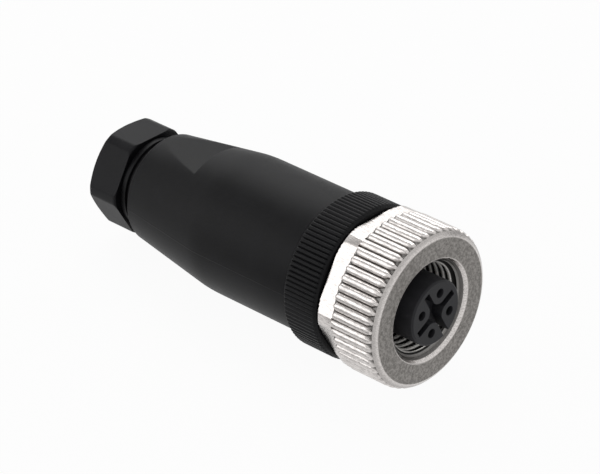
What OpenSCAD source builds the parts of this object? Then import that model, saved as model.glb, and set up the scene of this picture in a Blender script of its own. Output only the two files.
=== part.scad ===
// M12 circular connector: a straight field-wireable cable socket.
// Lengths in millimetres. The axis is X: the mating face is at X = 0 and looks towards +X,
// the cable leaves towards -X, and +Z is up. Angles on a section run from +Y towards +Z.

/* [Coupling nut] */
// Diameter over the nut's ribs
nut_d = 20; // [19.6:0.1:21]
// Length of the nut
nut_len = 9; // [8.8:0.1:10]
// Number of ribs round the nut
nut_ribs = 52; // [36:1:60]
// Depth of the grooves between the ribs
nut_groove = 0.45; // [0.25:0.05:0.5]
// How far the hexagon's flats lie inside the ribs
hex_step = 1; // [0.8:0.05:1.2]
// Length of the hexagon behind the ribs
hex_len = 2.4; // [2:0.1:3]
// How far the hexagon's cut corners stand out over its flats
hex_corner = 0.55; // [0.4:0.05:0.7]
// Width of the bevel round the nut's front face
nut_bevel = 0.95; // [0.7:0.05:1.1]
// Nominal diameter of the coupling thread
thread_d = 12; // [12:0.1:12.4]
// Pitch of the coupling thread
thread_pitch = 1; // [0.75:0.05:1.1]
// Width of the smooth countersink in front of the thread
mouth_flare = 0.55; // [0.4:0.05:0.8]
// Thickness of the lip that holds the nut on the insert
lip_t = 1.1; // [0.9:0.1:1.3]

/* [Contact insert] */
// Diameter of the insert's nose
nose_d = 8.2; // [8:0.1:8.4]
// How far the nose stands proud of the nut
nose_proud = 0.75; // [0.3:0.05:1.2]
// Diameter of the circle that the contacts stand on
contact_circle_d = 5; // [4.8:0.1:5.2]
// Diameter of the insert's pin holes
pin_hole_d = 1.2; // [1.1:0.05:1.3]
// Angle of the first contact
contact_angle = 73.6; // [60:0.1:90]
// Depth of the cross-shaped recess in the mating face
recess_depth = 1.6; // [0.8:0.1:2.2]
// Width of the recess's arms
recess_w = 0.9; // [0.7:0.05:1.1]
// Distance from the axis to the end of the recess's arms
recess_reach = 3.4; // [3.2:0.05:3.5]
// Diameter of the round bosses left standing in the recess
boss_d = 2.7; // [2.5:0.05:2.8]
// Width of the coding keyway
keyway_w = 1; // [0.8:0.05:1.2]
// Depth of the coding keyway
keyway_depth = 0.85; // [0.7:0.05:1]
// Length of the coding keyway
keyway_len = 5.6; // [4.5:0.1:6]
// Diameter of the insert's shoulder, which the nut turns on
shoulder_d = 9.4; // [9.2:0.1:9.6]
// Length of the terminal block behind the collar
block_len = 15.5; // [15:0.1:16.5]

/* [Seals and retaining ring] */
// Section of the sealing ring round the nose
mating_ring_t = 1.1; // [0.9:0.05:1.2]
// Section of the sealing ring between collar and sleeve
sleeve_ring_t = 1; // [0.8:0.05:1.1]
// Depth of the groove that the nose's sealing ring sits in
ring_groove = 0.25; // [0.2:0.05:0.3]
// Thickness of the retaining ring
clip_t = 0.4; // [0.3:0.05:0.5]
// How far the retaining ring stands out over the shoulder
clip_step = 0.65; // [0.5:0.05:0.7]
// Depth of the groove that the retaining ring snaps into
clip_groove = 0.4; // [0.3:0.05:0.5]
// Width of the retaining ring's opening
clip_gap = 2.4; // [1.5:0.1:4]

/* [Grip collar] */
// How far the collar's ribs lie inside the nut's
collar_step = 0.25; // [0.1:0.05:0.5]
// Length of the ribbed collar
collar_len = 5.35; // [5:0.05:6]
// Number of fine ribs round the collar
collar_ribs = 102; // [80:1:110]
// Depth of the collar's fine grooves
collar_groove = 0.22; // [0.12:0.02:0.26]
// Gap between the nut and the collar
nut_gap = 0.25; // [0.15:0.05:0.4]
// Thickness of the collar's front wall
collar_wall = 2; // [1.6:0.1:2.4]
// Length of the threaded spigot that carries the sleeve
spigot_len = 5.6; // [5.2:0.1:6]
// Wall of the spigot over the terminal block
spigot_wall = 1.42; // [1.3:0.02:1.6]

/* [Terminals] */
// Outer diameter of a contact socket
socket_d = 1.5; // [1.4:0.05:1.6]
// Bore of a contact socket
socket_bore = 1.04; // [1.02:0.01:1.1]
// Length of the full-width part of a socket
socket_len = 8.5; // [7:0.1:9]
// Length of the slits that make a socket springy
slit_len = 5; // [4:0.1:6]
// Width of those slits
slit_w = 0.2; // [0.15:0.05:0.3]
// Width of a terminal body
terminal_w = 2.3; // [2.2:0.05:2.4]
// Length of a terminal body
terminal_len = 6; // [5.6:0.1:6.2]
// Distance from the axis to a terminal body's floor
terminal_in = 1.75; // [1.7:0.05:1.8]
// Plastic left over a terminal body
terminal_cover = 1; // [0.9:0.05:1.1]
// Distance from the block's rear face to a terminal screw
screw_inset = 3.4; // [3:0.1:3.8]
// Diameter of a terminal screw
screw_d = 1.6; // [1.5:0.05:1.7]
// Diameter of a terminal screw's head
screw_head_d = 2.3; // [2.1:0.05:2.4]
// Height of a terminal screw's head
screw_head_h = 0.6; // [0.5:0.05:0.65]
// Thickness of a wire guard
guard_t = 0.3; // [0.25:0.05:0.35]

/* [Housing sleeve] */
// How far the sleeve lies inside the collar
sleeve_step = 0.85; // [0.6:0.05:1.1]
// Length of the straight part
straight_len = 15.35; // [14:0.1:17]
// Length of the taper
taper_len = 13.3; // [12:0.1:15]
// Diameter at the small end of the taper
taper_end_d = 14.1; // [13.6:0.1:14.4]
// Distance between the two wrench flats
flats_w = 14.3; // [14.1:0.1:14.9]
// Distance from the taper's start to the end wall of the flats
flats_start = 4; // [3:0.1:6]
// Wall of the sleeve over the spigot
sleeve_wall = 1.17; // [1.1:0.01:1.3]
// Wall of the sleeve over the terminals
cavity_wall = 1.6; // [1.5:0.05:1.8]
// Diameter of the throat that the cable passes
throat_d = 7.2; // [7:0.1:7.4]
// Diameter of the neck
neck_d = 11.8; // [11.6:0.1:12.2]
// Length of the neck in front of the gland nut
neck_len = 2.1; // [1.8:0.1:2.6]
// Depth of the groove round the neck
neck_groove = 0.35; // [0.2:0.05:0.4]
// Diameter of the neck's gland thread
gland_thread_d = 11; // [10.8:0.1:11]
// Length of the neck's gland thread
gland_thread_len = 3.2; // [3:0.1:3.4]

/* [Cable gland] */
// Width across the flats of the gland nut
gland_flats = 12.4; // [12.2:0.1:13]
// Length of the gland nut
gland_len = 4.85; // [4.8:0.05:5.3]
// Length of the bevel behind the gland nut's flats
gland_bevel_len = 0.45; // [0.4:0.05:0.8]
// Diameter of the gland nut's rear face
gland_face_d = 12; // [11.6:0.1:12.2]
// Diameter of the cable hole
cable_hole_d = 6.4; // [6.2:0.1:6.8]
// Length of the cable hole
cable_hole_len = 0.9; // [0.8:0.05:1]
// Outer diameter of the cable seal
seal_d = 9.1; // [9:0.1:9.2]
// Bore of the cable seal
seal_bore = 4.8; // [4:0.1:5.2]
// Length of the cable seal
seal_len = 4.2; // [3.8:0.1:4.4]
// Number of sealing ribs in the cable seal
seal_ribs = 4; // [3:1:5]
// Number of fingers of the clamp cage
cage_fingers = 8; // [6:1:10]
// Width of the slots between the fingers
cage_slot = 0.6; // [0.4:0.05:0.8]
// Length of the clamp cage's closed ring
cage_ring_len = 1.2; // [1:0.1:1.4]

/* [Fits] */
// Radial clearance between pieces that turn on each other
turn_fit = 0.08; // [0.04:0.01:0.1]
// Clearance between pieces that are fixed together
seat_fit = 0.03; // [0.02:0.01:0.05]
// Gap between faces that are screwed up against each other
face_gap = 0.05; // [0.03:0.01:0.08]
// Play of the nut along the axis, to either side
nut_play = 0.1; // [0.05:0.01:0.15]
// Clearance between the clamp cage and the cable
cage_fit = 0.2; // [0.15:0.05:0.3]

/* [Hidden] */
$fn = 96;
ring_fn = 32;
groove_fn = 24;
// How far a cut runs past the face that it opens
past = 1;

// Stations along the axis, from the mating face towards the cable
x_nut = -nose_proud;
x_nut_rear = x_nut - nut_len;
x_lip = x_nut_rear + lip_t;
x_clip = x_lip + nut_play + clip_t;
x_shoulder = x_clip + nut_play;
x_nose_end = x_shoulder + mating_ring_t + face_gap;
x_collar = x_nut_rear - nut_gap;
x_collar_rear = x_collar - collar_len;
x_block = x_collar - collar_wall;
x_block_rear = x_block - block_len;
x_spigot_end = x_collar_rear - spigot_len;
x_sleeve = x_collar_rear - face_gap;
x_taper = x_sleeve - straight_len;
x_taper_end = x_taper - taper_len;
x_gland = x_taper_end - neck_len;
x_neck_end = x_gland - gland_thread_len;
x_gland_rear = x_gland - gland_len;

// Outer radii, from the nut down to the terminals
nut_r = nut_d / 2;
collar_r = nut_r - collar_step;
sleeve_r = collar_r - sleeve_step;
spigot_r = sleeve_r - sleeve_wall - turn_fit;
block_r = spigot_r - spigot_wall - seat_fit;
terminal_out = block_r - terminal_cover;

// Radii that several pieces share
hex_flat_r = nut_r - hex_step;
thread_minor_r = thread_d / 2 - 0.54 * thread_pitch;
nose_r = nose_d / 2;
contact_r = contact_circle_d / 2;
shoulder_r = shoulder_d / 2;
ring_seat_r = nose_r - ring_groove;
clip_seat_r = shoulder_r - clip_groove;
sleeve_ring_r = spigot_r + 0.45 * sleeve_ring_t;
cable_r = cable_hole_d / 2;
seal_r = seal_d / 2;
cage_r = seal_r - seat_fit;

// The cable seal's seat in the sleeve
seal_gap = 0.6;
x_seal_seat = x_gland + seal_gap + seal_len;

// The contact, its screw and the wire chamber between them
pin_hole_past = 0.4;
terminal_inset = 1;
pin_hole_len = recess_depth + pin_hole_past;
x_socket_tip = -pin_hole_len - face_gap;
x_terminal = x_block_rear + terminal_len + terminal_inset;
x_screw = x_block_rear + screw_inset;
chamber_in = terminal_in + 0.35;
chamber_out = terminal_out - 1.15;
chamber_w = terminal_w - 0.8;
guard_in = chamber_in + 0.15;

// Puts a section drawn in YZ, or a revolved profile of [radius, x] points, on the part's axis.
module on_axis() {
    rotate([90, 0, 90]) children();
}

// A solid of revolution about the axis from [radius, x] points.
module turned(points) {
    on_axis() rotate_extrude() polygon(points);
}

// A flat section extruded along the axis between two stations.
module prism(from, to) {
    translate([from, 0, 0]) on_axis() linear_extrude(to - from) children();
}

// The angle of contact i round the axis.
function contact_phi(i) = contact_angle + 90 * (i - 1);

// Turns a piece drawn with +Y pointing out from the axis to the angle of contact i.
module at_contact(i) {
    rotate([contact_phi(i), 0, 0]) children();
}

// A cylinder along +Y from one distance to another, at station x.
module radial_rod(x, from, to, d) {
    translate([x, from, 0]) rotate([-90, 0, 0]) cylinder(d = d, h = to - from);
}

// A cylinder along the contact's own axis between two stations.
module contact_rod(from, to, d) {
    translate([from, contact_r, 0]) rotate([0, 90, 0]) cylinder(d = d, h = to - from);
}

// A round section with ribs. The grooves between them are round and take groove_share of the rim.
module grooved_disc(r, count, depth, groove_share) {
    half_w = groove_share * PI * r / count;
    groove_r = (half_w * half_w + depth * depth) / (2 * depth);
    difference() {
        circle(r);
        for (i = [0 : count - 1]) rotate(360 * (i + 0.5) / count)
            translate([r - depth + groove_r, 0]) circle(groove_r, $fn = groove_fn);
    }
}

// A ring of round section about the axis.
module seal_ring(x_front, inner_r, thickness) {
    ring_r = thickness / 2;
    on_axis() translate([0, 0, x_front - ring_r]) rotate_extrude() translate([inner_r + ring_r, 0])
        circle(ring_r - seat_fit, $fn = ring_fn);
}

// Grooved barrel with bevelled ends, and a hexagon with cut corners behind it.
module nut_outside() {
    rib_rear = x_nut_rear + hex_len;
    rear_bevel = 0.35;
    hex_bevel = 0.4;
    corner_r = hex_flat_r + hex_corner;
    overlap = 0.2;
    intersection() {
        prism(rib_rear, x_nut) grooved_disc(nut_r, nut_ribs, nut_groove, 0.62);
        turned([[0, rib_rear], [nut_r - rear_bevel, rib_rear], [nut_r, rib_rear + rear_bevel],
            [nut_r, x_nut - 0.8 * nut_bevel], [nut_r - nut_bevel, x_nut], [0, x_nut]]);
    }
    intersection() {
        prism(x_nut_rear, rib_rear + overlap) circle(hex_flat_r / cos(30), $fn = 6);
        turned([[0, x_nut_rear], [corner_r - hex_bevel, x_nut_rear], [corner_r, x_nut_rear + hex_bevel],
            [corner_r, rib_rear + overlap], [0, rib_rear + overlap]]);
    }
}

// The nut's bore from the rear: lip, room for the ring, thread at its minor diameter, countersink.
module nut_bore() {
    lip_r = shoulder_r + turn_fit;
    relief_r = thread_minor_r + 0.2;
    relief_edge = 0.1;
    flare_front = 0.9;
    flare_rear = 1.45;
    mouth_r = thread_d / 2 + mouth_flare;
    turned([[0, x_nut_rear - past], [lip_r, x_nut_rear - past], [lip_r, x_lip], [relief_r, x_lip],
        [relief_r, x_nose_end - relief_edge], [thread_minor_r, x_nose_end + relief_edge],
        [thread_minor_r, x_nut - flare_rear], [thread_d / 2, x_nut - flare_front], [mouth_r, x_nut],
        [mouth_r, x_nut + past], [0, x_nut + past]]);
}

module coupling_nut() {
    color("silver") difference() {
        nut_outside();
        nut_bore();
    }
}

module mating_seal() {
    color("#2a2a2c") seal_ring(x_nose_end, ring_seat_r + seat_fit, mating_ring_t);
}

module retaining_ring() {
    inner_r = clip_seat_r + seat_fit;
    outer_r = shoulder_r + clip_step;
    color("gainsboro") difference() {
        turned([[inner_r, x_clip - clip_t], [outer_r, x_clip - clip_t], [outer_r, x_clip],
            [inner_r, x_clip]]);
        translate([x_clip - clip_t - past, -clip_gap / 2, 0]) cube([clip_t + 2 * past, clip_gap, 2 * outer_r]);
    }
}

// Section of the recess in the mating face: four arms, opened out round the four bosses.
module recess_section() {
    middle_r = 2;
    for (i = [1 : 4]) rotate(contact_phi(i) + 45)
        translate([0, -recess_w / 2]) square([recess_reach, recess_w]);
    difference() {
        circle(middle_r);
        for (i = [1 : 4]) rotate(contact_phi(i)) translate([contact_r, 0]) circle(d = boss_d);
    }
}

// Outside of the insert: terminal block, shoulder with the retaining ring's groove, nose.
module insert_outside() {
    block_bevel = 0.3;
    nose_bevel = 0.2;
    groove_rear = x_clip - clip_t - seat_fit;
    groove_front = x_clip + seat_fit;
    turned([[0, x_block_rear], [block_r - block_bevel, x_block_rear], [block_r, x_block_rear + block_bevel],
        [block_r, x_block], [shoulder_r, x_block], [shoulder_r, groove_rear], [clip_seat_r, groove_rear],
        [clip_seat_r, groove_front], [shoulder_r, groove_front], [shoulder_r, x_shoulder],
        [ring_seat_r, x_shoulder], [ring_seat_r, x_nose_end], [nose_r, x_nose_end], [nose_r, -nose_bevel],
        [nose_r - nose_bevel, 0], [0, 0]]);
}

// Room for one contact, which is pushed in from the rear with its screw: pin hole, socket bore,
// pocket for the terminal body, and a slot for the screw's head with a round end.
module contact_cavity() {
    pocket_w = terminal_w + 2 * seat_fit;
    pocket_front = x_terminal + seat_fit;
    slot_w = screw_head_d + 0.3;
    contact_rod(-pin_hole_len, past, pin_hole_d);
    contact_rod(x_terminal, -pin_hole_len, socket_d + 2 * seat_fit);
    translate([x_block_rear - past, terminal_in - seat_fit, -pocket_w / 2])
        cube([pocket_front - x_block_rear + past, terminal_out - terminal_in + 2 * seat_fit, pocket_w]);
    radial_rod(x_screw, terminal_out, block_r + past, slot_w);
    translate([x_block_rear - past, terminal_out, -slot_w / 2])
        cube([screw_inset + past, block_r + past - terminal_out, slot_w]);
}

module contact_insert() {
    keyway_phi = contact_phi(3) + 45;
    color("#1c1d1f") difference() {
        insert_outside();
        prism(-recess_depth, past) recess_section();
        prism(-keyway_len, past) rotate(keyway_phi)
            translate([nose_r - keyway_depth, -keyway_w / 2]) square([keyway_depth + past, keyway_w]);
        for (i = [1 : 4]) at_contact(i) contact_cavity();
    }
}

module grip_collar() {
    front_bevel = 0.35;
    rear_bevel = 0.5;
    spigot_bevel = 0.4;
    groove_r = sleeve_ring_r - sleeve_ring_t + seat_fit;
    x_groove = x_collar_rear - sleeve_ring_t - face_gap;
    bore_r = block_r + seat_fit;
    neck_bore_r = shoulder_r + seat_fit;
    x_step = x_block + seat_fit;
    color("#1f2023") difference() {
        union() {
            intersection() {
                prism(x_collar_rear, x_collar) grooved_disc(collar_r, collar_ribs, collar_groove, 0.55);
                turned([[0, x_collar_rear], [collar_r - rear_bevel, x_collar_rear],
                    [collar_r, x_collar_rear + rear_bevel], [collar_r, x_collar - front_bevel],
                    [collar_r - front_bevel, x_collar], [0, x_collar]]);
            }
            turned([[0, x_spigot_end], [spigot_r - spigot_bevel, x_spigot_end],
                [spigot_r, x_spigot_end + spigot_bevel], [spigot_r, x_groove], [groove_r, x_groove],
                [groove_r, x_collar_rear], [0, x_collar_rear]]);
        }
        turned([[0, x_spigot_end - past], [bore_r, x_spigot_end - past], [bore_r, x_step],
            [neck_bore_r, x_step], [neck_bore_r, x_collar + past], [0, x_collar + past]]);
    }
}

// The tail that joins the socket to the terminal body is a little thinner than the socket.
module socket_contact(i) {
    tail_d = socket_d - 0.3;
    joint = 0.2;
    bore_past_slit = 1;
    x_socket_rear = x_socket_tip - socket_len;
    color("gold") at_contact(i) difference() {
        union() {
            contact_rod(x_socket_rear, x_socket_tip, socket_d);
            contact_rod(x_terminal - joint, x_socket_rear + joint, tail_d);
            translate([x_terminal - terminal_len, terminal_in, -terminal_w / 2])
                cube([terminal_len, terminal_out - terminal_in, terminal_w]);
        }
        contact_rod(x_socket_tip - slit_len - bore_past_slit, x_socket_tip + past, socket_bore);
        translate([x_socket_tip - slit_len, contact_r - slit_w / 2, -socket_d])
            cube([slit_len + past, slit_w, 2 * socket_d]);
        translate([x_terminal - terminal_len - past, chamber_in, -chamber_w / 2])
            cube([terminal_len, chamber_out - chamber_in, chamber_w]);
        radial_rod(x_screw, guard_in + guard_t, terminal_out + past, screw_d + 2 * turn_fit);
    }
}

// A small plate that the screw presses on the wire.
module wire_guard(i) {
    length = 2.6;
    width = chamber_w - 0.1;
    color("gainsboro") at_contact(i)
        translate([x_screw - length / 2, guard_in, -width / 2]) cube([length, guard_t, width]);
}

module terminal_screw(i) {
    tip = guard_in + guard_t + face_gap;
    head = terminal_out + face_gap;
    head_top = head + screw_head_h;
    slot_w = 0.4;
    slot_depth = 0.3;
    color("silver") at_contact(i) difference() {
        union() {
            radial_rod(x_screw, tip, head_top, screw_d);
            radial_rod(x_screw, head, head_top, screw_head_d);
        }
        translate([x_screw - screw_head_d, head_top - slot_depth, -slot_w / 2])
            cube([2 * screw_head_d, slot_depth + past, slot_w]);
    }
}

module sleeve_seal() {
    color("#2a2a2c")
        seal_ring(x_collar_rear - face_gap, sleeve_ring_r - sleeve_ring_t + seat_fit, sleeve_ring_t);
}

// The sleeve without its wrench flats: outside and neck first, then the bore from the rear.
module sleeve_body() {
    edge = 0.15;
    taper_edge = 0.35;
    taper_edge_len = 0.5;
    thread_bevel = 0.3;
    thread_r = gland_thread_d / 2;
    neck_r = neck_d / 2;
    neck_front = x_gland + face_gap;
    groove_x = x_taper_end - neck_len / 2;
    groove_top = 0.35;
    groove_floor = 0.2;
    seal_seat_r = seal_r + seat_fit;
    throat_len = 2;
    cavity_r = sleeve_r - cavity_wall;
    cavity_gap = 1.2;
    x_cavity = x_block_rear - cavity_gap;
    bore_r = spigot_r + turn_fit;
    x_bore_end = x_spigot_end - 0.6;
    ring_bore_r = sleeve_ring_r + turn_fit;
    x_ring_bore = x_sleeve - sleeve_ring_t - 0.3;
    turned([[ring_bore_r, x_sleeve], [sleeve_r - edge, x_sleeve], [sleeve_r, x_sleeve - edge],
        [sleeve_r, x_taper], [taper_end_d / 2, x_taper_end + taper_edge_len],
        [taper_end_d / 2 - taper_edge, x_taper_end], [neck_r, x_taper_end],
        [neck_r, groove_x + groove_top], [neck_r - neck_groove, groove_x + groove_floor],
        [neck_r - neck_groove, groove_x - groove_floor], [neck_r, groove_x - groove_top],
        [neck_r, neck_front], [thread_r, neck_front], [thread_r, x_neck_end + thread_bevel],
        [thread_r - thread_bevel, x_neck_end], [seal_seat_r, x_neck_end], [seal_seat_r, x_seal_seat],
        [throat_d / 2, x_seal_seat], [throat_d / 2, x_seal_seat + throat_len], [cavity_r, x_cavity],
        [cavity_r, x_bore_end], [bore_r, x_bore_end], [bore_r, x_ring_bore], [ring_bore_r, x_ring_bore]]);
}

module housing_sleeve() {
    x_flat = x_taper - flats_start;
    color("#232427") difference() {
        sleeve_body();
        for (side = [0, 180]) rotate([side, 0, 0])
            translate([x_taper_end, -sleeve_r, flats_w / 2])
                cube([x_flat - x_taper_end, 2 * sleeve_r, sleeve_r]);
    }
}

// A soft bush with saw-toothed sealing ribs in its bore.
module cable_seal() {
    x_front = x_seal_seat - seat_fit;
    x_rear = x_front - seal_len;
    rib_h = 0.25;
    rear_bevel = 0.5;
    pitch = seal_len / seal_ribs;
    crest_r = seal_bore / 2;
    root_r = crest_r + rib_h;
    color("#3a3a3c") turned(concat(
        [[seal_r, x_front], [seal_r, x_rear + rear_bevel], [seal_r - rear_bevel, x_rear], [root_r, x_rear]],
        [for (k = [0 : seal_ribs - 1]) each
            [[crest_r, x_rear + pitch * (k + 0.5)], [root_r, x_rear + pitch * (k + 1)]]]));
}

// A ring with fingers that the gland nut's cone presses on the cable.
module clamp_cage() {
    bore_r = cable_r + cage_fit;
    x_front = x_gland + seal_gap - face_gap;
    x_tip = x_gland_rear + cable_hole_len + 0.25;
    tip_bevel = 0.75;
    slot_len = x_front - cage_ring_len - x_tip;
    color("dimgray") difference() {
        turned([[bore_r, x_front], [cage_r, x_front], [cage_r, x_tip + 0.9], [cage_r - tip_bevel, x_tip],
            [bore_r, x_tip]]);
        for (k = [0 : cage_fingers - 1]) rotate([360 * k / cage_fingers, 0, 0])
            translate([x_tip - past, 0, -cage_slot / 2])
                cube([slot_len + past, cage_r + past, cage_slot]);
    }
}

module gland_nut() {
    front_bevel = 0.15;
    corner_cut = 0.33;
    cone_gap = 0.15;
    corner_r = gland_flats / 2 / cos(30) - corner_cut;
    thread_r = gland_thread_d / 2 + turn_fit;
    x_cone = x_neck_end - cone_gap;
    x_exit = x_gland_rear + cable_hole_len;
    color("#26272a") difference() {
        intersection() {
            prism(x_gland_rear, x_gland) circle(d = gland_flats / cos(30), $fn = 6);
            turned([[0, x_gland_rear], [gland_face_d / 2, x_gland_rear],
                [corner_r, x_gland_rear + gland_bevel_len], [corner_r, x_gland - front_bevel],
                [corner_r - front_bevel, x_gland], [0, x_gland]]);
        }
        turned([[0, x_gland_rear - past], [cable_r, x_gland_rear - past], [cable_r, x_exit],
            [cage_r + cone_gap, x_cone], [thread_r, x_cone], [thread_r, x_gland + past], [0, x_gland + past]]);
    }
}

coupling_nut();
mating_seal();
retaining_ring();
contact_insert();
grip_collar();
for (i = [1 : 4]) {
    socket_contact(i);
    wire_guard(i);
    terminal_screw(i);
}
sleeve_seal();
housing_sleeve();
cable_seal();
clamp_cage();
gland_nut();
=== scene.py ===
import math

import bmesh
import bpy
import numpy as np
from mathutils import Matrix, Vector


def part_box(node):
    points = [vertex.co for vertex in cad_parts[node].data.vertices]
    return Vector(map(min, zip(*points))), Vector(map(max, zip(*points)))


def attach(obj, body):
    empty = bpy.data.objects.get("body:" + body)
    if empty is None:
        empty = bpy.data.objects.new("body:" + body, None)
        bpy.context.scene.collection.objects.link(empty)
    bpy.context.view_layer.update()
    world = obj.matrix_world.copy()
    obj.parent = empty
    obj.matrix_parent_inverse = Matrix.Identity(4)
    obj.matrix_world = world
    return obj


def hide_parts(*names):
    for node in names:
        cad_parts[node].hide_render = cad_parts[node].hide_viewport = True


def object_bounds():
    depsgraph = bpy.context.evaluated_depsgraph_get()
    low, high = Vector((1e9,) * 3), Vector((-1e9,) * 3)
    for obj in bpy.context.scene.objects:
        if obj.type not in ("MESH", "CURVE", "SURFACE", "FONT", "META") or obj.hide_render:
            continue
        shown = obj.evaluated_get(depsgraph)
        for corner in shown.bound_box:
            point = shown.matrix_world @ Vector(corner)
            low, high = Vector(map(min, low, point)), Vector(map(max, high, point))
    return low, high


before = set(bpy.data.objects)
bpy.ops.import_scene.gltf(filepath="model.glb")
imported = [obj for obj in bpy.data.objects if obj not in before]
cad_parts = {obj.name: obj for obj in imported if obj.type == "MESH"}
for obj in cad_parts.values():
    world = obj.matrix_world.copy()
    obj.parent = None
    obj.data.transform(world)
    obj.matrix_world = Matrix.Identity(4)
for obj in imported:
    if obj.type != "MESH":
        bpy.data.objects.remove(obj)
cad_box = [list(corner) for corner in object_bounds()]


# Contact insert
# The black nylon core of the connector, injection moulded in one piece: a nose with four pin holes and a
# coding keyway, a shoulder that the coupling nut turns on, and the terminal block at the rear.
class Wire:
    """A value in a finish's node tree. Sums, products and comparisons of wires add Math nodes."""

    def __init__(self, finish, socket):
        self.finish, self.socket = finish, socket

    def other(self, name):
        return Wire(self.finish, self.socket.node.outputs[name])

    def math(self, operation, *values):
        return self.finish.node("Math", {"operation": operation}, dict(enumerate(values)))

    def __add__(self, value):
        return self.math("ADD", self, value)

    def __radd__(self, value):
        return self.math("ADD", value, self)

    def __sub__(self, value):
        return self.math("SUBTRACT", self, value)

    def __rsub__(self, value):
        return self.math("SUBTRACT", value, self)

    def __mul__(self, value):
        return self.math("MULTIPLY", self, value)

    def __rmul__(self, value):
        return self.math("MULTIPLY", value, self)

    def __abs__(self):
        return self.math("ABSOLUTE", self)

    def rising(self, low, high):
        """0 below low, 1 above high, and a smooth rise between them. With high under low it falls."""
        span = {"From Min": min(low, high), "From Max": max(low, high),
                "To Min": float(low > high), "To Max": float(low < high)}
        return self.finish.node("MapRange", {"interpolation_type": "SMOOTHSTEP"}, {"Value": self, **span})


class Finish:
    """A procedural material. Its places are the piece's own, in millimetres, so they turn with the piece."""

    def __init__(self, name, holder=None):
        self.material = holder or bpy.data.materials.new(name)
        self.material.use_nodes = True
        self.tree = self.material.node_tree
        self.tree.nodes.clear()

    def node(self, kind, settings=None, sockets=None, output=0):
        """A node of this kind. Its settings come first, then its sockets, which take numbers or wires."""
        made = self.tree.nodes.new("ShaderNode" + kind)
        for setting, value in (settings or {}).items():
            if setting == "stops":
                while len(made.color_ramp.elements) < len(value):
                    made.color_ramp.elements.new(0.5)
                for element, (at, colour) in zip(made.color_ramp.elements, value):
                    element.position, element.color = at, (*colour, 1)
            else:
                setattr(made, setting, value)
        for socket, value in (sockets or {}).items():
            if isinstance(value, Wire):
                self.tree.links.new(value.socket, made.inputs[socket])
            else:
                made.inputs[socket].default_value = value
        return Wire(self, made.outputs[output]) if made.outputs else made

    def end(self, shader, kind="OutputMaterial"):
        self.node(kind, None, {"Surface": shader})
        return self.material

    def place(self, stretch=(1000, 1000, 1000)):
        spot = self.node("TexCoord", output="Object")
        return self.node("VectorMath", {"operation": "MULTIPLY"}, {0: spot, 1: stretch})

    def noise(self, size, detail=2.0, stretch=(1000, 1000, 1000)):
        """Soft patches about size mm across, from 0 to 1. A small stretch draws them out along that axis."""
        sockets = {"Vector": self.place(stretch), "Scale": 1 / size, "Detail": detail}
        return self.node("TexNoise", None, sockets)

    def axes(self):
        """Station along the axis, y, z and distance from the axis, in mm."""
        x = self.node("SeparateXYZ", None, {0: self.place()})
        y, z = x.other("Y"), x.other("Z")
        return x, y, z, x.math("SQRT", y * y + z * z)

    def bump(self, height, depth_mm):
        return self.node("Bump", None, {"Height": height, "Distance": depth_mm / 1000, "Strength": 1.0})

    def blend(self, share, first, second):
        """A colour that goes from the first to the second as share goes from 0 to 1."""
        sockets = {0: share, 6: (*first, 1), 7: (*second, 1)}
        return self.node("Mix", {"data_type": "RGBA"}, sockets, output=2)

    def shade(self, **sockets):
        named = {name.replace("_", " "): value for name, value in sockets.items()}
        return self.end(self.node("BsdfPrincipled", None, named))


def moulded_plastic(name, colour, roughness, grain=0.09, grain_depth=0.012, specular=0.35):
    """Mould-grained plastic: fine spark-eroded grain, faint flow clouds and slightly uneven gloss."""
    finish = Finish(name)
    grains, clouds = finish.noise(grain, 3.0), finish.noise(2.6, 2.0)
    lighter = tuple(1.45 * c for c in colour)
    return finish.shade(
        Base_Color=finish.blend(clouds.rising(0.3, 0.75), colour, lighter),
        Roughness=roughness - 0.05 + 0.07 * clouds + 0.05 * grains,
        Normal=finish.bump(grains + 0.4 * clouds, grain_depth),
        **{"Specular IOR Level": specular})


def eased(node, width, material, angle=32):
    """A carried-over node with its sharp edges rounded off by width mm."""
    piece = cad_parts[node]
    weld = piece.modifiers.new("weld", "WELD")
    weld.merge_threshold = 1e-6
    merge = piece.modifiers.new("merge", "DECIMATE")
    merge.decimate_type, merge.angle_limit = "DISSOLVE", math.radians(0.6)
    edge = piece.modifiers.new("edge", "BEVEL")
    edge.width, edge.segments, edge.limit_method = width / 1000, 2, "ANGLE"
    edge.angle_limit, edge.harden_normals = math.radians(angle), True
    coat(piece, material)
    return piece


def coat(piece, material):
    piece.data.materials.clear()
    piece.data.materials.append(material)


insert_nylon = moulded_plastic("insert_nylon", (0.014, 0.014, 0.0165), 0.5, specular=0.25)
eased("contact_insert", 0.07, insert_nylon)


# Contacts, wire guards and screws
# Four gold-plated turned sockets with slit springs and a square terminal, each with a spring-steel guard
# plate and a zinc-plated slotted screw that clamps the wire. They are pushed into the insert from the rear.
def plated_metal(name, colour, roughness, wave=0.5, wave_depth=0.004):
    """Bright plated metal with faint waves, dust-fine grain and slightly uneven gloss."""
    finish = Finish(name)
    waves, dust = finish.noise(wave, 2.0), finish.noise(0.05, 2.0)
    duller = tuple(0.86 * c for c in colour)
    return finish.shade(
        Base_Color=finish.blend(waves.rising(0.35, 0.7), colour, duller),
        Roughness=roughness + 0.12 * waves + 0.05 * dust,
        Metallic=1.0,
        Normal=finish.bump(waves + 0.3 * dust, wave_depth))


gold = plated_metal("gold_plating", (0.83, 0.58, 0.24), 0.2)
zinc = plated_metal("zinc_plating", (0.66, 0.67, 0.68), 0.26)
spring_steel = plated_metal("spring_steel", (0.55, 0.54, 0.52), 0.3)
for i in range(1, 5):
    eased(f"socket_contact_{i}", 0.03, gold)
    eased(f"wire_guard_{i}", 0.04, spring_steel)
    eased(f"terminal_screw_{i}", 0.04, zinc)


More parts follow.
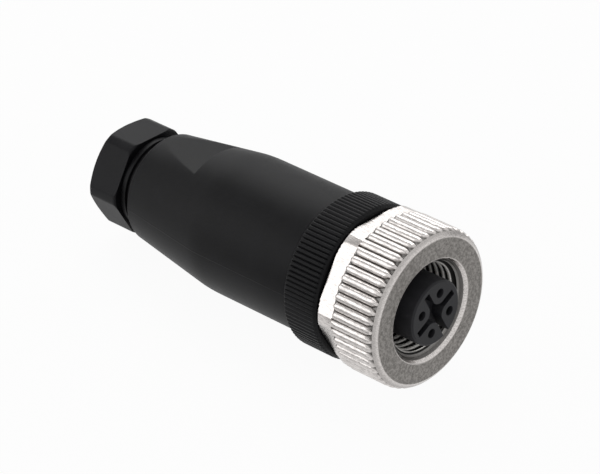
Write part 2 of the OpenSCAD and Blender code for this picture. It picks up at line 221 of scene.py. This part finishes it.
# Seals round the nose and the spigot
# Two nitrile rubber O-rings, moulded with a fine flash line, snapped into their grooves.
def rubber(name, colour):
    """Matt black rubber with a powdery bloom and a fine pebbled skin."""
    finish = Finish(name)
    pebbles, bloom = finish.noise(0.07, 3.0), finish.noise(0.9, 3.0)
    paler = tuple(2.1 * c for c in colour)
    return finish.shade(
        Base_Color=finish.blend(bloom.rising(0.4, 0.8), colour, paler),
        Roughness=0.62 + 0.16 * bloom,
        Normal=finish.bump(pebbles, 0.01),
        **{"Specular IOR Level": 0.3})


seal_rubber = rubber("nitrile_rubber", (0.014, 0.014, 0.015))
for node in ("mating_seal", "sleeve_seal"):
    coat(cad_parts[node], seal_rubber)


# Retaining ring
# A stamped spring-steel ring, open at one side, that snaps into the shoulder and holds the nut captive.
eased("retaining_ring", 0.05, spring_steel)


# Coupling nut
# Turned from brass and nickel plated: a barrel with rounded finger ribs, a hexagon for the wrench behind
# them, and the M12 x 1 thread in its bore. It turns freely on the insert's shoulder.
def rounded(*corners, steps=3):
    """Rows of a section through corners of [x, r, cut] in mm, each corner rounded off over its cut.
    A row is x + 1j * r. It may hold one value, or one for each angle round the axis."""
    points = [x + 1j * r for x, r, cut in corners]
    rows = [points[0]]
    for before, here, after, (_, _, cut) in zip(points, points[1:], points[2:], corners[1:]):
        ends = []
        for there in (before, after):
            length = np.maximum(abs(there - here), 1e-9)
            ends.append(here + (there - here) * np.minimum(cut, 0.45 * length) / length)
        for s in np.linspace(0, 1, steps + 1) if cut else (0.5,):
            rows.append((1 - s) ** 2 * ends[0] + 2 * s * (1 - s) * here + s * s * ends[1])
    return rows + [points[-1]]


def thread_rows(phi, start, end, crest_r, root_r, pitch=1.0):
    """Rows of a right-hand thread from one station to the next. Each follows the helix, so a row is one
    pitch further on after a turn. The rows that run past an end lie on it."""
    share = np.array([0, 0.09, 0.17, 0.25, 0.33, 0.56, 0.63, 0.68, 0.75, 0.93])
    depth = np.array([0, 0, 0.03, 0.12, 0.28, 0.94, 1, 1, 0.94, 0.14])
    low, high = min(start, end), max(start, end)
    turns = math.ceil((high - low) / pitch) + 1
    rows = []
    for k in range(-1, turns):
        for at, deep in zip(share, depth):
            x = low + pitch * (k + at + phi / (2 * math.pi))
            inside = np.clip(x, low, high)
            off = abs(x - inside) / pitch
            rows.append(inside + 1j * (crest_r + (root_r - crest_r) * deep * (off < 1e-9)))
    return rows if start < end else rows[::-1]


def skin(name, columns, section, turn=lambda x, phi: phi):
    """A closed skin about the axis, joined from one turn of a section's rows."""
    phi = np.linspace(0, 2 * math.pi, columns + 1)
    grid = []
    for row in section(phi):
        x, r = np.real(row) + 0 * phi, np.imag(row) + 0 * phi
        angle = turn(x, phi)
        grid.append(np.stack([x, r * np.cos(angle), r * np.sin(angle)], axis=1))
    rows, wide = len(grid), columns + 1
    faces = []
    for j in range(rows):
        here, there = j * wide, (j + 1) % rows * wide
        faces += [(here + i, here + i + 1, there + i + 1, there + i) for i in range(columns)]
    mesh = bpy.data.meshes.new(name)
    mesh.from_pydata(np.concatenate(grid) / 1000, [], faces)
    shape = bmesh.new()
    shape.from_mesh(mesh)
    bmesh.ops.remove_doubles(shape, verts=shape.verts, dist=4e-7)
    bmesh.ops.dissolve_degenerate(shape, edges=shape.edges, dist=1e-7)
    bmesh.ops.recalc_face_normals(shape, faces=shape.faces)
    shape.to_mesh(mesh)
    shape.free()
    mesh.shade_smooth()
    mesh.set_sharp_from_angle(angle=math.radians(38))
    piece = bpy.data.objects.new(name, mesh)
    bpy.context.scene.collection.objects.link(piece)
    return piece


def fit(piece, node, body, material):
    """The piece stands for the node, moves with its body and takes the finish."""
    coat(piece, material)
    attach(piece, body)
    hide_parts(node)


def soft_min(a, b, blend):
    """The smaller of a and b, with a rounded change from one to the other."""
    near = np.maximum(blend - abs(a - b), 0) / blend
    return np.minimum(a, b) - near * near * blend / 4


def hexagon(phi, flat_r, blend):
    """Radius of a hexagon with softly rounded corners, one of them at angle 0."""
    side = math.pi / 3
    off = np.mod(phi, side) - side / 2
    return soft_min(flat_r / np.cos(off), flat_r / np.cos(side - abs(off)), blend)


nut_low, nut_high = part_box("coupling_nut")
nut_front, nut_rear, nut_r = nut_high.x * 1000, nut_low.x * 1000, nut_high.z * 1000
rib_count, rib_height, rib_columns = 52, 0.45, 12


def nut_section(phi):
    face_mid, rim_r, mouth_r = 7.8, nut_r - 0.95, 6.55
    x_tip, rib_rear = nut_front - 0.47, nut_rear + 2.4
    flat_r, corner_r = nut_r - 1.1, nut_r - 0.05
    across = abs(np.mod(phi * rib_count / (2 * math.pi) + 0.5, 1) - 0.5) * 2

    def rib(share):
        """Fall of a rib's round back from its middle, 0, to its foot, 1."""
        keen = 0.975
        return (1 - np.sqrt(1 - (keen * np.minimum(share, 1)) ** 2)) / (1 - math.sqrt(1 - keen * keen))

    def ribbed(wide, high):
        return nut_r - rib_height * (1 - high * (1 - rib(across / max(wide, 1e-3))))

    def arch(share):
        return math.sqrt(1 - (1 - min(share, 1)) ** 2)

    def band(x):
        """The smooth round band in front of the ribs."""
        behind_face, radius = [0, 0.1, 0.25, 0.45, 0.76, 1.15], [rim_r, 9.26, 9.49, 9.71, 9.92, nut_r]
        return np.interp(nut_front - x, behind_face, radius)

    full = ribbed(1, 1)
    rows = rounded(
        [nut_front, face_mid, 0], [nut_front, rim_r, 0.12], [nut_front - 0.1, band(nut_front - 0.1), 0])
    rows += [x + 1j * band(x) for x in nut_front - np.array([0.17, 0.25, 0.35, 0.45])]
    for s in (0.0, 0.025, 0.06, 0.11, 0.17, 0.24, 0.32, 0.42, 0.54, 0.68, 0.85, 1.05):
        tip = ribbed(0.3 + 0.7 * min(s / 0.85, 1) ** 0.8, 1)
        rows.append(x_tip - s + 1j * np.minimum(tip, band(x_tip - s)))
    rows.append(rib_rear + 1.2 + 1j * full)
    hex_r = soft_min(hexagon(phi, flat_r, 0.1), corner_r, 0.08)
    for s in (0.8, 0.6, 0.45, 0.32, 0.22, 0.14, 0.08, 0.04, 0.015, 0.005):
        end = ribbed(arch(s / 0.6), arch(s / 0.4))
        rows.append(rib_rear + s + 1j * np.maximum(end, np.minimum(full, hex_r)))
    lip_r, lip_front, relief_r = 4.78, nut_rear + 1.1, 5.66
    thread_rear, thread_front, crest_r, root_r = -6.8, nut_front - 0.9, 5.46, 6.0
    chamfer = ((0.45, 0), (0.36, 0.06), (0.25, 0.2), (0.12, 0.42), (0.03, 0.6))
    turned_rows = [(rib_rear, corner_r), (rib_rear - 0.1, corner_r)]
    turned_rows += [(nut_rear + ahead, corner_r - less) for ahead, less in chamfer]
    rows += [x + 1j * soft_min(hex_r, turned, 0.06) for x, turned in turned_rows]
    rows += rounded(
        [nut_rear, np.minimum(hex_r, corner_r - 0.68) - 0.06, 0], [nut_rear, 7, 0], [nut_rear, lip_r, 0.1],
        [lip_front, lip_r, 0.05], [lip_front, relief_r, 0.05], [thread_rear, relief_r, 0])
    for row in thread_rows(phi, thread_rear, thread_front, crest_r, root_r):
        cone = np.interp(row.real, [nut_front - 1.45, thread_front], [crest_r, root_r])
        rows.append(row.real + 1j * np.maximum(row.imag, cone))
    rows += rounded(
        [thread_front, root_r, 0], [thread_front + 0.02, root_r + 0.03, 0.02], [nut_front, mouth_r, 0.1],
        [nut_front, face_mid, 0])[1:-1]
    return rows


def nickel(name):
    """Bright nickel over turned and tumbled brass, with painted shade in the ribs' grooves, on the band
    behind the rib tips and on the thread's flanks and roots, and a painted highlight on the thread's crests.
    The front face is left matt, with a sandy grain."""
    finish = Finish(name)
    x, _, _, r = finish.axes()
    face = x.rising(nut_front - 0.06, nut_front - 0.02) * r.rising(6.5, 6.7)
    face = face * r.rising(nut_r - 0.8, nut_r - 1)
    bevel = r.rising(nut_r - 0.84, nut_r - 0.4) * x.rising(nut_front - 0.5, nut_front - 0.42)
    ribs = x.rising(nut_rear + 2.36, nut_rear + 2.4) * x.rising(nut_front - 0.44, nut_front - 0.48)
    groove = ribs * r.rising(nut_r - 0.17, nut_r - 0.42)
    bore = r.rising(6.3, 6.2) * x.rising(nut_front - 0.95, nut_front - 1.15)
    root = bore * r.rising(5.56, 5.68)
    sand, grit = finish.noise(0.17, 3.0), finish.noise(0.42, 3.0)
    blotch = finish.noise(0.9, 3.0)
    streaks = finish.noise(0.13, 2.0, (220, 1000, 1000))
    grain = face * sand * 2.2 + (1 - face) * (streaks * 1.5 + blotch * 0.5)

    def over(share, under, upper):
        return finish.node("Mix", {"data_type": "RGBA"}, {0: share, 6: under, 7: upper}, output=2)

    sandy = (0.5 * sand + 0.5 * grit).rising(0.38, 0.62)
    bright = finish.blend(streaks.rising(0.32, 0.68), (0.69, 0.655, 0.635), (0.49, 0.465, 0.45))
    dull = finish.blend(sandy, (0.156, 0.148, 0.138), (0.292, 0.277, 0.262))
    # Painted shade: the band behind the rib tips is darkened, most near the tips, where the real nut lies in
    # shade.
    colour = over(bevel * 0.4, bright, (0.2, 0.19, 0.18, 1))
    # Painted shade: the ribs' grooves are darkened towards their floors.
    colour = over(groove * 0.85, colour, (0.12, 0.116, 0.11, 1))
    # Painted highlight: the thread in the bore is lightened so that its crests glint.
    colour = over(bore, colour, (0.92, 0.9, 0.87, 1))
    # Painted shade: the thread's flanks and roots are darkened almost to black.
    colour = over(root, colour, (0.025, 0.024, 0.023, 1))
    uneven = 0.13 + 0.08 * blotch + 0.09 * streaks
    return finish.shade(
        Base_Color=over(face, colour, dull),
        Roughness=uneven + 0.25 * face + 0.12 * bevel + 0.2 * groove + 0.25 * bore,
        Metallic=1.0,
        Normal=finish.bump(grain, 0.014))


fit(skin("ribbed_coupling_nut", rib_count * rib_columns, nut_section),
    "coupling_nut", "nut", nickel("nickel_plating"))


# Grip collar
# Moulded in black glass-filled nylon: a finely ribbed collar, and behind it the threaded spigot that the
# housing sleeve screws on. It is fixed on the insert and holds the terminal block.
collar_front, collar_rear, collar_r = -10.0, -15.35, 9.75
fine_ribs, columns_a_rib = 102, 6


def collar_section(phi):
    depth = 0.22
    across = abs(np.mod(phi * fine_ribs / (2 * math.pi) + 0.5, 1) - 0.5) * 2
    groove = depth * np.clip((across - 0.38) / 0.62, 0, 1) ** 1.3
    rib_r = collar_r - groove
    spigot_r, groove_r, spigot_end = 7.65, 7.12, -20.95
    block_front, block_r, bore_r = -11.97, 6.23, 4.73
    front = collar_front - np.maximum(0.35 - groove, 0.05)
    rear = collar_rear + np.maximum(0.5 - groove, 0.05)
    rows = rounded(
        [collar_front, 6.5, 0], [collar_front, collar_r - 0.35, 0.08], [front, rib_r, 0.08],
        [rear, rib_r, 0.1], [collar_rear, collar_r - 0.5, 0.12], [collar_rear, groove_r, 0.1],
        [collar_rear - 1.05, groove_r, 0.1], [collar_rear - 1.05, spigot_r, 0.1],
        [collar_rear - 1.2, spigot_r, 0])
    rows += thread_rows(phi, collar_rear - 1.25, spigot_end + 0.45, spigot_r, spigot_r - 0.5)
    rows += rounded(
        [spigot_end + 0.4, spigot_r, 0], [spigot_end, spigot_r - 0.4, 0.08], [spigot_end, block_r, 0.08],
        [block_front, block_r, 0.05], [block_front, bore_r, 0.05], [collar_front, bore_r, 0.1],
        [collar_front, 6.5, 0])[:-1]
    return rows


fit(skin("ribbed_grip_collar", fine_ribs * columns_a_rib, collar_section), "grip_collar", "carrier",
    moulded_plastic("collar_nylon", (0.0045, 0.0045, 0.0052), 0.42, specular=0.13))


# Housing sleeve
# The long black shell that covers the terminals: straight, then tapered, with two wrench flats in the taper
# and a neck that carries the gland thread. It is moulded in one piece, with a parting line along each side.
sleeve_front, sleeve_end = -15.4, -49.35
taper_front, taper_end, flat_front, flat_r = -30.75, -44.05, -34.75, 7.15
sleeve_r, taper_end_r = 8.9, 7.05


def cone_r(x):
    return np.interp(x, [taper_end + 0.5, taper_front], [taper_end_r, sleeve_r])


def sleeve_turn(x, phi):
    """Moves the columns round so that four of them run along the edges of the flats."""
    reach = np.clip(x, taper_end + 0.5, flat_front)
    edge = np.arcsin(np.minimum(1, flat_r / cone_r(reach)))
    half_turn = np.mod(phi, math.pi)
    round_share = 0.68
    share = half_turn / math.pi
    low, high = round_share / 2, 1 - round_share / 2
    swing = np.where(
        share < low, edge * np.sin(share / low * math.pi / 2),
        np.where(
            share > high, math.pi - edge * np.sin((1 - share) / low * math.pi / 2),
            math.pi / 2 - (math.pi / 2 - edge) * np.cos((share - low) / (high - low) * math.pi)))
    return phi - half_turn + swing


def sleeve_section(phi):
    def flattened(x, r):
        angle = sleeve_turn(x + 0 * phi, phi)
        return soft_min(r + 0 * phi, flat_r / np.maximum(abs(np.sin(angle)), 0.05), 0.1)

    rows = rounded(
        [sleeve_front, 8.5, 0], [sleeve_front, sleeve_r, 0.15], [sleeve_front - 6, sleeve_r, 0],
        [taper_front, sleeve_r, 1.5], [flat_front + 1.4, cone_r(flat_front + 1.4), 0],
        [flat_front, cone_r(flat_front), 0.09], [flat_front, flattened(flat_front, cone_r(flat_front)), 0.06],
        [flat_front - 0.5, flattened(flat_front - 0.5, cone_r(flat_front - 0.5)), 0], steps=5)
    for x in np.linspace(flat_front - 0.7, taper_end + 0.5, 40):
        rows.append(x + 1j * flattened(x, cone_r(x)))
    neck_r, groove_r, thread_r, cage_r, cable_r = 5.9, 5.5, 5.5, 4.58, 3.6
    room_r, crest_r, root_r, mouth_r = 7.3, 7.73, 8.2, 8.18
    rows += rounded(
        [taper_end + 0.45, taper_end_r, 0], [taper_end + 0.3, taper_end_r - 0.05, 0.15],
        [taper_end, taper_end_r - 0.4, 0.12], [taper_end, groove_r, 0.03],
        [taper_end - 0.45, groove_r, 0.05], [taper_end - 0.5, neck_r, 0.05],
        [taper_end - 0.8, neck_r, 0.05], [taper_end - 0.85, groove_r, 0.05],
        [taper_end - 1.25, groove_r, 0.05], [taper_end - 1.3, neck_r, 0.08],
        [-46.1, neck_r, 0.12], [-46.1, thread_r, 0.08], [-46.25, thread_r, 0])
    rows += thread_rows(sleeve_turn(taper_end, phi), -46.3, -49.0, thread_r, thread_r - 0.5)
    rows += rounded(
        [-49.05, thread_r, 0], [sleeve_end, thread_r - 0.3, 0.06], [sleeve_end, cage_r, 0.06],
        [-41.35, cage_r, 0.1], [-41.35, cable_r, 0.1], [-39.35, cable_r, 0.15], [-28.7, room_r, 0.2],
        [-21.55, room_r, 0.1], [-21.55, crest_r, 0.05], [-21.4, crest_r, 0])
    rows += thread_rows(sleeve_turn(sleeve_front, phi), -21.35, -16.85, crest_r, root_r)
    rows += rounded(
        [-16.8, crest_r, 0], [-16.7, crest_r, 0.03], [-16.7, mouth_r, 0.05], [sleeve_front, mouth_r, 0.06],
        [sleeve_front, 8.5, 0])[:-1]
    return rows


def shell_plastic(name):
    """The sleeve's satin nylon: mould grain, glass-fibre flow along the axis, and a fine parting line."""
    finish = Finish(name)
    _, _, z, _ = finish.axes()
    grains, clouds = finish.noise(0.1, 3.0), finish.noise(2.8, 2.0)
    fibres = finish.noise(0.3, 2.0, (160, 1000, 1000))
    seam = abs(z).rising(0.09, 0.03)
    return finish.shade(
        Base_Color=finish.blend(clouds.rising(0.3, 0.75), (0.0045, 0.0045, 0.0052), (0.0065, 0.0065, 0.0075)),
        Roughness=0.41 + 0.06 * clouds + 0.05 * grains,
        Normal=finish.bump(grains + 0.5 * fibres + 0.4 * clouds + 1.4 * seam, 0.012),
        **{"Specular IOR Level": 0.14})


fit(skin("tapered_housing_sleeve", 160, sleeve_section, sleeve_turn), "housing_sleeve", "sleeve",
    shell_plastic("sleeve_nylon"))


# Cable seal
# A soft chloroprene bush with saw-toothed ribs in its bore, pressed round the cable by the gland nut.
coat(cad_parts["cable_seal"], rubber("chloroprene_rubber", (0.022, 0.022, 0.023)))


# Clamp cage
# A grey acetal ring with eight fingers, which the gland nut's cone closes on the cable.
eased("clamp_cage", 0.06, moulded_plastic("cage_acetal", (0.055, 0.056, 0.058), 0.4))


# Gland nut
# A black nylon hexagon nut with turned-down corners, a bevelled back and a cable hole, screwed on the neck.
gland_front, gland_rear, gland_flat_r, gland_corner_r = -46.15, -51.0, 6.2, 6.829


def gland_section(phi):
    def outline(x, turned):
        return x + 1j * soft_min(hexagon(phi, gland_flat_r, 0.1), turned, 0.07)

    hole_r, cone_end_r, crest_r, root_r, face_r, front_cut = 3.2, 4.67, 5.58, 6.02, 5.8, 0.22
    rows = [gland_front + 1j * face_r, outline(gland_front, gland_corner_r - front_cut) - 0.06j]
    for s in (0, 0.15, 0.35, 0.6, 1):
        rows.append(outline(gland_front - 0.2 * s, gland_corner_r - front_cut * (1 - s) ** 2))
    rows += [outline(x, gland_corner_r) for x in np.linspace(gland_front - 0.5, gland_rear + 0.55, 4)]
    for s in np.linspace(0, 1, 9):
        turned = np.interp(s, [0, 0.12, 1], [gland_corner_r, gland_corner_r - 0.06, 6])
        rows.append(outline(gland_rear + 0.5 * (1 - s), turned))
    rows += rounded(
        [gland_rear, 5.85, 0], [gland_rear, hole_r, 0.2], [gland_rear + 0.9, hole_r, 0.05],
        [-49.5, cone_end_r, 0.05], [-49.5, crest_r, 0.05], [-49.4, crest_r, 0])
    rows += thread_rows(phi, -49.35, -46.5, crest_r, root_r)
    rows += rounded(
        [-46.45, crest_r, 0], [-46.35, crest_r, 0.02], [gland_front, face_r - 0.05, 0.03],
        [gland_front, face_r, 0])[:-1]
    return rows


fit(skin("hexagon_gland_nut", 288, gland_section), "gland_nut", "gland",
    moulded_plastic("gland_nylon", (0.005, 0.005, 0.006), 0.42, specular=0.14))


# Studio
# A pale sweep under the connector, which rests on the coupling nut's rear edge and the sleeve's belly. Soft
# light comes from a large panel overhead and a weaker one in front, with plain cards to shape the gloss.
def plain_plane(name, centre, size, tilt):
    mesh = bpy.data.meshes.new(name)
    half = size / 2
    corners = [(-half, -half, 0), (half, -half, 0), (half, half, 0), (-half, half, 0)]
    mesh.from_pydata(corners, [], [(0, 1, 2, 3)])
    plane = bpy.data.objects.new(name, mesh)
    bpy.context.scene.collection.objects.link(plane)
    plane.location, plane.rotation_euler = centre, tilt
    return plane


def looked_at(finish):
    """1 for what the camera, a reflection or a clear material sees, and 0 for light that falls on things."""
    path = finish.node("LightPath")
    share = path.other("Is Camera Ray")
    for ray in ("Is Glossy Ray", "Is Transmission Ray"):
        share = share.math("MAXIMUM", share, path.other(ray))
    return share


white = (1, 1, 1, 1)
rest_front, rest_rear = Vector((-14.75, 0, -9.75)), Vector((-35.93, 0, -8.84))
slope = math.atan2(rest_rear.z - rest_front.z, rest_front.x - rest_rear.x)
floor_gap, floor_size = Vector((0, 0, 0.02)), 4.0
floor = plain_plane("floor", (rest_front - floor_gap) / 1000, floor_size, (0, slope, 0))
paper = Finish("white_paper")
sheet = paper.node("BsdfDiffuse", None, {"Color": (0.9, 0.9, 0.9, 1)})
glow = paper.node("Emission", None, {"Color": white, "Strength": 1.0})
glow_share = looked_at(paper) * 0.95
floor.data.materials.append(paper.end(paper.node("MixShader", None, {0: glow_share, 1: sheet, 2: glow})))

room = Finish("studio", bpy.data.worlds.new("studio"))
bpy.context.scene.world = room.material
lit = room.node("Background", None, {"Color": white, "Strength": 0.45})
shown = room.node("Background", None, {"Color": white, "Strength": 1.0})
room.end(room.node("MixShader", None, {0: looked_at(room), 1: lit, 2: shown}), "OutputWorld")


def gloss_card(name, centre, size, tilt, shadow=False):
    """A plain grey card, seen in reflections alone, that dims what a panel would show there."""
    card = plain_plane(name, centre, 1.0, tilt)
    card.scale = (*size, 1)
    card.visible_camera = card.visible_diffuse = card.visible_transmission = False
    card.visible_shadow = shadow


def lamp(name, place, aim, size, power):
    panel = bpy.data.lights.new(name, "AREA")
    panel.shape, panel.size, panel.energy = "SQUARE", size, power
    holder = bpy.data.objects.new(name, panel)
    bpy.context.scene.collection.objects.link(holder)
    holder.location = place
    holder.rotation_mode = "QUATERNION"
    holder.rotation_quaternion = (aim - place).to_track_quat("-Z", "Y")


middle = (Vector(cad_box[0]) + Vector(cad_box[1])) / 2
upright = math.pi / 2
gloss_card("card_between_panels", middle + Vector((-0.21, -0.045, 0.28)), (0.5, 0.12), (0, 0, 0), shadow=True)
gloss_card("card_at_left", middle + Vector((-0.33, -0.08, 0.02)), (0.24, 0.26), (0, upright, 0))
gloss_card("card_behind", middle + Vector((-0.16, 0.26, 0.0)), (0.7, 0.12), (upright, 0, 0))
gloss_card("card_on_table", Vector((-0.14, -0.085, -0.0085)), (0.28, 0.126), (0, 0, 0))
lamp("overhead_panel", middle + Vector((-0.2, 0.2, 0.38)), middle, 0.42, 0.78)
lamp("front_panel", middle + Vector((-0.26, -0.3, 0.16)), middle, 0.28, 0.26)


# Camera
# A long lens, from the front right and above, so that the mating face and the whole length both show.
azimuth, elevation, roll = math.radians(43.44), math.radians(30.194), math.radians(-0.49)
distance, aim_right, aim_up = 384.08, -15.114, 8.564
focal_px, image_px, sensor_mm = 3327.14, 600, 36
back = Vector((math.sin(azimuth) * math.cos(elevation), -math.cos(azimuth) * math.cos(elevation),
               math.sin(elevation)))
level = Vector((math.cos(azimuth), math.sin(azimuth), 0))
right = level * math.cos(roll) + back.cross(level) * math.sin(roll)
up = back.cross(right)
lens = bpy.data.cameras.new("camera")
lens.sensor_width, lens.lens = sensor_mm, focal_px / image_px * sensor_mm
lens.clip_start, lens.clip_end = 0.01, 20
camera = bpy.data.objects.new("camera", lens)
bpy.context.scene.collection.objects.link(camera)
target = Vector((nut_front, 0, 0)) + right * aim_right + up * aim_up
camera.location = (target + back * distance) / 1000
camera.rotation_mode = "QUATERNION"
camera.rotation_quaternion = Matrix((right, up, back)).transposed().to_quaternion()
bpy.context.scene.camera = camera
bpy.context.scene.view_settings.view_transform = "Standard"
